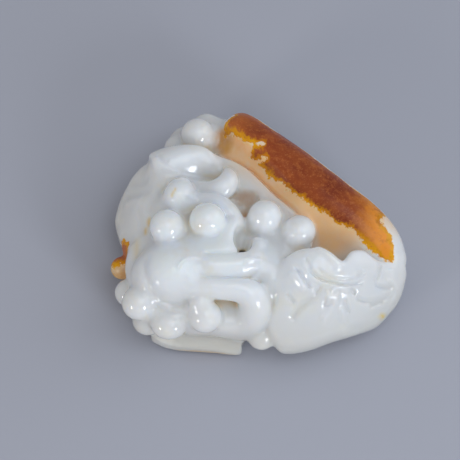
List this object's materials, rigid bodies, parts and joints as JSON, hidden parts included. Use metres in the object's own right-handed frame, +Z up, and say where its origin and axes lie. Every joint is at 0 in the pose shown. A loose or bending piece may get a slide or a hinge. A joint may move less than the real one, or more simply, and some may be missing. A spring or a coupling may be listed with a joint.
{
  "type": "jade carving",
  "caption": "Pierced openwork pebble carving of round fruit, vine arms and leaves in white jade with a russet-skinned ridge.",
  "frame": {"origin": "under the middle of the stone's outline, on the surface it lies on", "axes": "+X along the stone's length, towards the broad leaf; +Y towards the russet ridge; +Z up, out of the carved face"},
  "size_m": [0.0571, 0.0493, 0.0203],
  "materials": {
    "white_jade": "high hand polish, translucent, russet skin along the back ridge"
  },
  "bodies": {
    "root": {"jade_carving": "white_jade"}
  },
  "joints": []
}
